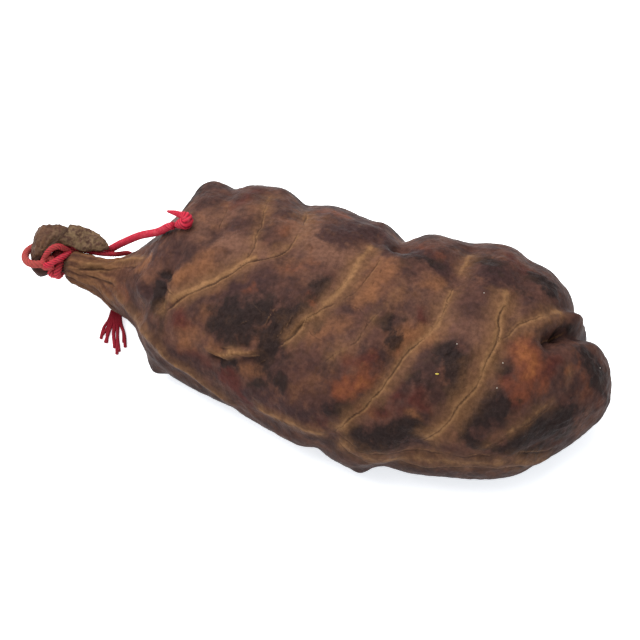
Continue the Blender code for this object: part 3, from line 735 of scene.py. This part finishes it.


# Smoked gut over mottled meat: a brown, faintly greasy skin with grey-tan bloom that also paints its sheen,
# through which the lean, the fat and the paprika show as soft-edged patches; ribs dry pale, and the creases
# and the lap of the folded end are darkened with painted shade.
SKIN_BROWN, SKIN_PLUM, SKIN_AMBER = "#4c332c", "#392825", "#5c3d2f"
# The ribs' pale is their own tan; the crease colour is painted shade where shade falls in them.
RIB_PALE, CREASE_PAINTED_SHADE = "#886444", "#241816"
# The neck's brown is partly its own tone and partly painted shade in the pleats' troughs.
NECK_AMBER, NECK_BROWN_AND_PLEAT_SHADE = "#80593d", "#52362b"
FLARE_OLIVE, FLARE_BROWN = "#766048", "#533d33"
LOW_FLANK_SHADE_TINT = "#2e2422"  # painted shade: a dark grey tint low on the flanks
SHADE_TINT_UP_TO = 0.032          # metres
LOW_SHADE = 0.68            # painted shade: the colour near the floor, as a share of the crown's
SHADE_UP_TO = 0.055         # metres
# Layers of colour, in the order they are laid: the mask, the colour, the raggedness of the edge, the values
# between which it comes in, and its strength. Fat stained by paprika has a second, clear and glowing middle.
SHOWING = (
    # pale dry bloom, partly painted sheen
    ("bloom", "#68493b", 1.3, 0.0, 1.2, 0.92),
    ("blood", "#472420", 1.3, 0.12, 0.85, 0.92),
    ("plum", "#372625", 2.0, 0.24, 0.76, 0.92),
    ("amber", "#754d34", 1.3, 0.0, 1.2, 0.92),
    ("paprika", "#663a29", 1.3, 0.12, 0.85, 0.92),
    ("paprika", "#8a5430", 1.3, 0.7, 1.3, 0.8),
    ("lean", "#261e1d", 2.0, 0.24, 0.76, 0.92),
)
RIDGED = (
    ("rib", "#694a33", 1.1, 0.0, 1.0, 0.85),
    ("rib_crest", RIB_PALE, 1.2, 0.3, 1.1, 0.8),
    # painted shade in the creases and along the lap of the folded end
    ("crease", CREASE_PAINTED_SHADE, 0.8, 0.2, 0.9, 0.6),
)
# A crease's pale lip, a painted highlight on one side of it, and its dark line, painted shade: how far beside
# it in mm, the distances over which each dies out, and its strength.
CREASE_LINES = ((0.9, 0.1, 0.6, 0.28, RIB_PALE), (0.0, 0.05, 0.5, 0.42, CREASE_PAINTED_SHADE))

smoked_gut, tree = new_material("smoked_gut_over_meat")
colour = linear(SKIN_BROWN)
for size_mm, detail, low, high, hex_colour in ((9, 5, 0.38, 0.62, SKIN_PLUM), (15, 6, 0.5, 0.75, SKIN_AMBER)):
    share = add(tree, "ShaderNodeMapRange", {"Value": mottle(tree, size_mm, detail), "From Min": low,
                "From Max": high}, interpolation_type="SMOOTHSTEP")
    colour = add(tree, "ShaderNodeMix", {0: share, 6: colour, 7: linear(hex_colour)}, 2, data_type="RGBA")
blotch = add(tree, "ShaderNodeMath", {0: mottle(tree, 7, 5, (1.2, 0.9, 0.9)), 1: 0.5}, operation="SUBTRACT")
colour = painted(tree, colour, SHOWING, blotch)
pleated = cover(tree, "pleat", 0.7, blotch, 0.15, 0.8)
speckled = add(tree, "ShaderNodeMapRange", {"Value": mottle(tree, 1.8, 4), "From Min": 0.35,
               "From Max": 0.62}, interpolation_type="SMOOTHSTEP")
for mask, strength, share, dark, pale in (("neck", 0.85, pleated, NECK_BROWN_AND_PLEAT_SHADE, NECK_AMBER),
                                          ("flare", 0.9, speckled, FLARE_BROWN, FLARE_OLIVE)):
    dry = add(tree, "ShaderNodeMix", {0: share, 6: linear(dark), 7: linear(pale)}, 2, data_type="RGBA")
    stored = add(tree, "ShaderNodeAttribute", output="Fac", attribute_name=mask)
    share = add(tree, "ShaderNodeMath", {0: stored, 1: strength}, operation="MULTIPLY")
    colour = add(tree, "ShaderNodeMix", {0: share, 6: colour, 7: dry}, 2, data_type="RGBA")
colour = painted(tree, colour, RIDGED, blotch)

# The lines of the creases waver by a noise of their own, and show only where the crease is deep enough.
wiggle = add(tree, "ShaderNodeMath", {0: mottle(tree, 2.5, 3), 1: 0.5}, operation="SUBTRACT")
stored = add(tree, "ShaderNodeAttribute", output="Fac", attribute_name="beside_crease")
aside = add(tree, "ShaderNodeMath", {0: wiggle, 1: 1.6, 2: stored}, operation="MULTIPLY_ADD")
deep_enough = cover(tree, "crease", 0.0, blotch, 0.08, 0.3)
for offset, near, far, strength, hex_colour in CREASE_LINES:
    signed = add(tree, "ShaderNodeMath", {0: aside, 1: offset}, operation="SUBTRACT")
    away = add(tree, "ShaderNodeMath", {0: signed}, operation="ABSOLUTE")
    share = add(tree, "ShaderNodeMapRange", {"Value": away, "From Min": near, "From Max": far,
                "To Min": strength, "To Max": 0.0}, interpolation_type="SMOOTHSTEP")
    share = add(tree, "ShaderNodeMath", {0: share, 1: deep_enough}, operation="MULTIPLY")
    colour = add(tree, "ShaderNodeMix", {0: share, 6: colour, 7: linear(hex_colour)}, 2, data_type="RGBA")

# A fine uneven tone all over, then painted shade near the floor: a dark grey tint low on the flanks, and a
# darkening that deepens towards the floor.
fine = add(tree, "ShaderNodeMapRange", {"Value": mottle(tree, 2.0, 7), "From Min": 0.3, "From Max": 0.7,
           "To Min": 0.8, "To Max": 1.2}, interpolation_type="SMOOTHSTEP")
colour = add(tree, "ShaderNodeMix", {0: 1.0, 6: colour, 7: fine}, 2, data_type="RGBA", blend_type="MULTIPLY")
place = add(tree, "ShaderNodeTexCoord", output="Object")
height = add(tree, "ShaderNodeSeparateXYZ", {0: place}, 2)
low_flank_shade = add(tree, "ShaderNodeMapRange", {"Value": height, "From Max": SHADE_TINT_UP_TO, "To Min": 0.55,
           "To Max": 0.0}, interpolation_type="SMOOTHSTEP")
colour = add(tree, "ShaderNodeMix", {0: low_flank_shade, 6: colour, 7: linear(LOW_FLANK_SHADE_TINT)}, 2, data_type="RGBA")
shade = add(tree, "ShaderNodeMapRange", {"Value": height, "From Max": SHADE_UP_TO, "To Min": LOW_SHADE},
            interpolation_type="SMOOTHSTEP")
colour = add(tree, "ShaderNodeMix", {0: 1.0, 6: colour, 7: shade}, 2, data_type="RGBA", blend_type="MULTIPLY")

# The gut's grain, its dried wrinkles, and crinkles over lean meat, each over the one before.
grain = add(tree, "ShaderNodeBump", {"Strength": 0.3, "Distance": 0.0004, "Height": mottle(tree, 1.2, 4)})
wrinkles = add(tree, "ShaderNodeBump", {"Strength": 0.45, "Distance": 0.0012, "Normal": grain,
               "Height": mottle(tree, 3.0, 4, (1.4, 0.8, 0.8))})
stored = add(tree, "ShaderNodeAttribute", output="Fac", attribute_name="lean")
crinkle = add(tree, "ShaderNodeMath", {0: mottle(tree, 2.2, 3), 1: stored}, operation="MULTIPLY")
crinkled = add(tree, "ShaderNodeBump", {"Strength": 0.6, "Distance": 0.0015, "Normal": wrinkles,
               "Height": crinkle})
roughness = add(tree, "ShaderNodeMapRange", {"Value": mottle(tree, 6, 4), "From Min": 0.3, "From Max": 0.7,
                "To Min": 0.46, "To Max": 0.62}, interpolation_type="SMOOTHSTEP")
shader = add(tree, "ShaderNodeBsdfPrincipled", {"Base Color": colour, "Normal": crinkled,
             "Specular IOR Level": 0.03, "Roughness": roughness})
add(tree, "ShaderNodeOutputMaterial", {"Surface": shader})

SPLIT_RING = len(tail) - int(0.09 * len(tail))       # inside the tie, where the two runs of skin overlap
body_rings, end_rings = slice(SPLIT_RING - 2, None), slice(0, SPLIT_RING + 2)
for name, run in (("casing_body", body_rings), ("casing_end", end_rings)):
    item = closed_rings(name, skin[run])
    keep_masks(item, {kind: mask[run] for kind, mask in masks.items()})
    item.data.materials.append(smoked_gut)
    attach(item, "root")
    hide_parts("casing")


# Specks on the skin: a few grains of dried salt and one yellow flake of dried pepper, each a small rounded
# lump that sticks to the smoked gut, at its pixel of the photo.
SALT = ((457, 344), (503, 363), (600, 368), (497, 388), (484, 293))
SALT_HALF = 0.26                        # half the width in mm
FLAKE = (437, 374)
FLAKE_HALF, FLAKE_HALF_UP = 0.85, 0.35
SPECK_THICKNESS = 0.6                   # of its half height
SPECK_ROUGHNESS = 0.4
finished_skin = BVHTree.FromPolygons(skin.reshape(-1, 3).tolist(), ring_faces(*skin.shape[:2]).tolist())


def speck(name, pixel, half_across, half_up, material):
    """A lump on the finished skin, as an ellipsoid turned to the view: the sine of the polar angle times the
    cosine and the sine of the turn across the view and up it, and the cosine towards the eye."""
    polar = np.linspace(0.15, math.pi - 0.15, 9)[:, None, None]
    turn = np.linspace(0, 2 * math.pi, 14, endpoint=False)[None, :, None]
    across, up = half_across * np.sin(polar) * np.cos(turn), half_up * np.sin(polar) * np.sin(turn)
    out = -SPECK_THICKNESS * half_up * np.cos(polar)
    centre = on_skin([pixel], finished_skin)[0]
    item = closed_rings(name, centre + across * view_right + up * view_up + out * towards_eye)
    item.data.materials.append(material)
    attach(item, "root")


# Salt dries to a dull grey-white crust, and dried pepper is a leathery yellow.
dried = {}
for name, hex_colour in (("salt", "#b3a89c"), ("pepper", "#b9a23a")):
    dried[name], tree = new_material("dried_" + name)
    shader = add(tree, "ShaderNodeBsdfPrincipled", {"Base Color": linear(hex_colour),
                 "Roughness": SPECK_ROUGHNESS})
    add(tree, "ShaderNodeOutputMaterial", {"Surface": shader})
for n, pixel in enumerate(SALT):
    speck(f"salt_grain_{n}", pixel, SALT_HALF, SALT_HALF, dried["salt"])
speck("pepper_flake", FLAKE, FLAKE_HALF, FLAKE_HALF_UP, dried["pepper"])


# The string: crimson cotton of five fine plies laid round each other. It is doubled and 3.6 mm across except
# along its short end. Each length is the outline of its plies, turned steadily along its route.
STRING_RADIUS = 1.8
SHORT_END_RADIUS = 1.2
GAP = 0.3
PINCHED_NECK_RADIUS = 2.4
WRAP_RADIUS = PINCHED_NECK_RADIUS + GAP + STRING_RADIUS
WRAP_CENTRES = ((-124.1, -1.8, 18.8), (-127.5, -1.9, 18.8))
WRAP_LEAN = math.radians(9)
KNOT_CENTRE = (-127.6, -6.7, 25.5)
LOOP_ROUTE = (
    (-128.4, -7.6, 25.7), (-132.4, -9.4, 25.6), (-136.6, -8.9, 24.6), (-140.2, -5.6, 23.2),
    (-141.6, -0.8, 21.8), (-140.4, 4.6, 20.0), (-137.2, 7.4, 18.8), (-132.8, 7.2, 19.4),
    (-129.2, 4.6, 22.0), (-127.6, 1.0, 25.0),
)
LONG_END_ROUTE = (
    (-124.5, 6.2, 23.4), (-118.0, 8.8, 22.4), (-111.5, 10.8, 21.8), (-105.8, 12.0, 23.2),
    (-101.4, 11.6, 27.8), (-97.0, 10.6, 33.0), (-87.0, 9.4, 43.0), (-75.6, 5.7, 53.9),
    (-69.2, 4.1, 61.4), (-66.4, 4.0, 63.6),
)
SHORT_END_ROUTE = (
    (-127.2, 2.9, 27.7), (-123.8, 4.2, 27.4), (-120.3, 4.5, 27.4), (-115.6, 5.0, 26.7),
    (-110.2, 5.9, 26.0), (-104.4, 7.2, 25.8), (-100.0, 9.8, 24.6), (-97.0, 13.8, 22.0),
    (-95.4, 16.0, 16.4), (-95.2, 13.6, 8.6), (-95.8, 8.0, 3.2), (-96.4, 2.0, 1.3), (-96.6, -4.0, 1.3),
)
# Strands that lie over the turns, each row a pixel of the photo and its nearness to the eye in mm, then how
# soiled each is and how much painted shade darkens it: over the folded end's edge to the long end, across the
# knot, and behind.
CROSSING_STRANDS = (
    (((43, 261, -3.4), (47, 253.5, -0.2), (52.5, 248, 0.9), (59, 246.5, 0.2), (65, 249, -2.8),
      (71, 251.5, -6.4), (79, 252.5, -9.4)), 0.45, 0.15),
    (((70, 252.5, -5.0), (63, 256.5, -1.8), (56, 260.5, -0.3), (50, 264, 0.1), (45, 265.5, -0.9)), 0.2, 0.0),
    (((52, 257.5, -5.2), (58, 253, -6.2), (63, 251, -8.0), (68, 249.5, -10.5)), 0.5, 0.7),
)
STOP_KNOT = (
    (-64.8, 4.3, 64.2, 1.4), (-62.6, 4.3, 65.9, 2.4), (-60.2, 4.8, 67.3, 3.0),
    (-61.0, 6.6, 68.2, 2.5), (-64.0, 7.6, 67.6, 1.6), (-67.4, 8.4, 66.8, 1.2),
    (-71.0, 9.0, 65.8, 0.6),
)
TASSEL_ROOT = (-96.5, -5.6, 1.5)
TASSEL_TIPS = ((-97.2, -21.2, 0.9), (-92.6, -22.4, 0.8), (-90.0, -24.6, 0.9), (-86.2, -27.0, 0.9),
               (-85.4, -21.8, 0.8))
RING_STEP = 0.35
STRAND_AROUND = 40
PLIES = 5


def route_points(route, step):
    """Points a step apart in mm on a smooth curve through the route's own points."""
    t = np.linspace(0, len(route) - 1, 800)
    length = np.linalg.norm(np.diff(curve_through(route, t)[:, :3], axis=0), axis=1).sum()
    return curve_through(route, evenly_spaced(route, max(4, round(length / step)), [0, 1, 2]))


def frames_along(path):
    """Two unit directions square to the path at each point, carried along it without twisting."""
    along = np.gradient(path, axis=0)
    along /= np.linalg.norm(along, axis=1)[:, None]
    first = np.cross(along[0], [0.0, 0.0, 1.0])
    if np.linalg.norm(first) < 0.1:
        first = np.cross(along[0], [0.0, 1.0, 0.0])
    sides = [first / np.linalg.norm(first)]
    for direction in along[1:]:
        side = sides[-1] - direction * (sides[-1] @ direction)
        sides.append(side / np.linalg.norm(side))
    sides = np.array(sides)
    return sides, np.cross(along, sides)


def laid_string(name, path, radius, pitch, soiled=0.0, dark=0.0):
    """A length of laid string: each ring is the outline of round plies about the path's point, and the
    rings turn once in each pitch of length. The radius is one for all or one for each point. It may be
    soiled by smoke and fat, and darkened by painted shade where it lies behind or low, both from 0 to 1."""
    side, up = frames_along(path)
    steps = np.concatenate([[0], np.cumsum(np.linalg.norm(np.diff(path, axis=0), axis=1))])
    around = np.linspace(0, 2 * math.pi, STRAND_AROUND, endpoint=False)
    turn = 2 * math.pi * steps / pitch
    in_ply = (around[None] - turn[:, None]) % (2 * math.pi / PLIES) - math.pi / PLIES
    outline = 0.5 * np.cos(in_ply) + np.sqrt(0.25 - 0.25 * np.sin(in_ply) ** 2 * 0.98)
    reach = np.broadcast_to(radius, len(path))[:, None] * outline
    rings = path[:, None] + reach[..., None] * (np.cos(around)[None, :, None] * side[:, None]
                                                + np.sin(around)[None, :, None] * up[:, None])
    item = closed_rings(name, rings)
    keep_masks(item, {"ply": 1 - np.abs(in_ply) * PLIES / math.pi, "soiled": soiled + 0 * in_ply,
                      "dark": dark + 0 * in_ply})
    return item


def join(name, items):
    """Joins meshes that belong together into the first one."""
    for item in bpy.context.selected_objects:
        item.select_set(False)
    for item in items:
        item.select_set(True)
    bpy.context.view_layer.objects.active = items[0]
    bpy.ops.object.join()
    items[0].name = name
    items[0].data.name = name
    return items[0]


# Dyed cotton: a matt crimson, with painted shade between the plies, pale patches that are loose fibres and
# painted sheen, brown stains from the smoke and fat near the loop, and painted shade on strands that lie
# behind or low.
COTTON_GROOVE_SHADE, COTTON_CROWN, LOOSE_FIBRES_AND_SHEEN = "#6a1220", "#be293d", "#bf4a55"
COTTON_SOILED, COTTON_PAINTED_SHADE = "#8c443a", "#5c1018"

crimson, tree = new_material("laid_cotton_crimson")
even = mottle(tree, 2.0, 4)
# Painted shade between the plies.
share = cover(tree, "ply", 0.0, even, 0.05, 0.7)
colour = add(tree, "ShaderNodeMix", {0: share, 6: linear(COTTON_GROOVE_SHADE), 7: linear(COTTON_CROWN)}, 2,
             data_type="RGBA")
# Pale fibre patches, partly painted sheen.
share = add(tree, "ShaderNodeMapRange", {"Value": even, "From Min": 0.45, "From Max": 0.75, "To Max": 0.6},
            interpolation_type="SMOOTHSTEP")
colour = add(tree, "ShaderNodeMix", {0: share, 6: colour, 7: linear(LOOSE_FIBRES_AND_SHEEN)}, 2, data_type="RGBA")
share = cover(tree, "soiled", 0.9, mottle(tree, 4.0, 4), 0.5, 1.2, 0.85)
colour = add(tree, "ShaderNodeMix", {0: share, 6: colour, 7: linear(COTTON_SOILED)}, 2, data_type="RGBA")
# Painted shade: strands that lie behind others or low by the floor are darkened.
stored = add(tree, "ShaderNodeAttribute", output="Fac", attribute_name="dark")
share = add(tree, "ShaderNodeMath", {0: stored, 1: 0.75}, operation="MULTIPLY")
colour = add(tree, "ShaderNodeMix", {0: share, 6: colour, 7: linear(COTTON_PAINTED_SHADE)}, 2, data_type="RGBA")
fibres = add(tree, "ShaderNodeBump", {"Strength": 0.6, "Distance": 0.0004, "Height": mottle(tree, 0.5, 3)})
shader = add(tree, "ShaderNodeBsdfPrincipled", {"Base Color": colour, "Normal": fibres, "Roughness": 0.85,
             "Specular IOR Level": 0.15})
add(tree, "ShaderNodeOutputMaterial", {"Surface": shader})


def dress_string(item, node):
    """What every piece of string has in common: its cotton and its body."""
    item.data.materials.append(crimson)
    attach(item, "root")
    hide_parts(node)


def seen_place(px, py, nearness):
    """The place seen at a pixel of the photo, as far along the view's direction as the nearness in mm."""
    ray = (view_right * (px - PHOTO_SIZE / 2) - view_up * (py - PHOTO_SIZE / 2)) / FOCAL_PIXELS - towards_eye
    return eye + ray * (eye @ towards_eye - nearness)


# The tie: two turns round the pinched neck, the loop round the folded end, and a knot, with the strands
# that cross them.
KNOT_RADIUS = 1.5
CROSSING_RADIUS = 1.4
KNOT_ROUTE = np.array([
    (-3.4, 0.6, -1.6), (-1.0, -1.6, -1.6), (1.8, -1.0, 0.2), (1.6, 1.4, 1.8), (-0.8, 1.0, 1.6),
    (-2.0, -1.0, 0.6), (-0.2, -1.8, -0.8), (2.4, 0.2, -2.0)]) + KNOT_CENTRE
tie = []
for n, centre in enumerate(WRAP_CENTRES):
    turn = np.linspace(0, 2 * math.pi, 100)
    lean = WRAP_LEAN * (1 - 2 * n)
    y, z = WRAP_RADIUS * np.cos(turn), WRAP_RADIUS * np.sin(turn)
    ring = np.array(centre) + np.stack([math.sin(lean) * z, y, math.cos(lean) * z], -1)
    tie.append(laid_string(f"wrap_{n}", ring, STRING_RADIUS, 8.0, soiled=0.3))
tie.append(laid_string("loop", route_points(LOOP_ROUTE, RING_STEP), STRING_RADIUS, 9.0, soiled=0.6))
tie.append(laid_string("knot", route_points(KNOT_ROUTE, RING_STEP), KNOT_RADIUS, 8.0, soiled=0.45))
for n, (pixels, soiled, dark) in enumerate(CROSSING_STRANDS):
    path = route_points(np.array([seen_place(*row) for row in pixels]), RING_STEP)
    tie.append(laid_string(f"crossing_{n}", path, CROSSING_RADIUS, 7.0, soiled, dark))
tie = join("string_tie_laid", tie)
dress_string(tie, "string_tie")

long_path = route_points(LONG_END_ROUTE, RING_STEP)
long_end = laid_string("string_long_end_laid", long_path, STRING_RADIUS, 7.0)
dress_string(long_end, "string_long_end")
knot_rows = route_points(STOP_KNOT, RING_STEP)
stop_knot = laid_string("stop_knot_laid", knot_rows[:, :3], knot_rows[:, 3], 6.0)
dress_string(stop_knot, "stop_knot")

short_path = route_points(SHORT_END_ROUTE, RING_STEP)
# The short end runs low by the floor and is partly darkened with painted shade.
short_end = laid_string("string_short_end_laid", short_path, SHORT_END_RADIUS, 6.0, soiled=0.2, dark=0.4)
dress_string(short_end, "string_short_end")

# The tassel: the short end's cotton, frayed into thin strands that come apart and lie on the floor.
STRANDS_PER_TIP = 2
BUNDLE_HALF = 2.3           # half the width in mm of the bundle at its root
SPREAD = 0.9                # how much wider it is a little further on
bundle_way = np.mean(TASSEL_TIPS, axis=0) - TASSEL_ROOT
frays = []
for n, across in enumerate(np.linspace(-1, 1, STRANDS_PER_TIP * len(TASSEL_TIPS))):
    draw = np.random.default_rng(n)
    tip = np.array(TASSEL_TIPS[n // STRANDS_PER_TIP]) + draw.uniform(-1.6, 1.6, 3) * [1, 1, 0]
    root = np.array(TASSEL_ROOT) + [BUNDLE_HALF * across, 0, 0]
    apart = root + 0.3 * bundle_way + [SPREAD * across, 0, 0]
    halfway = 0.5 * (apart + tip) + draw.uniform(-0.8, 0.8, 3) * [1, 1, 0]
    path = route_points(np.array([root, apart, halfway, tip]), RING_STEP)
    # The frays on the floor are darkened with painted shade.
    frays.append(laid_string(f"fray_{n}", path, np.linspace(0.6, 0.85, len(path)), 5.0, dark=0.85))
tassel = join("tassel_laid", frays)
dress_string(tassel, "tassel")
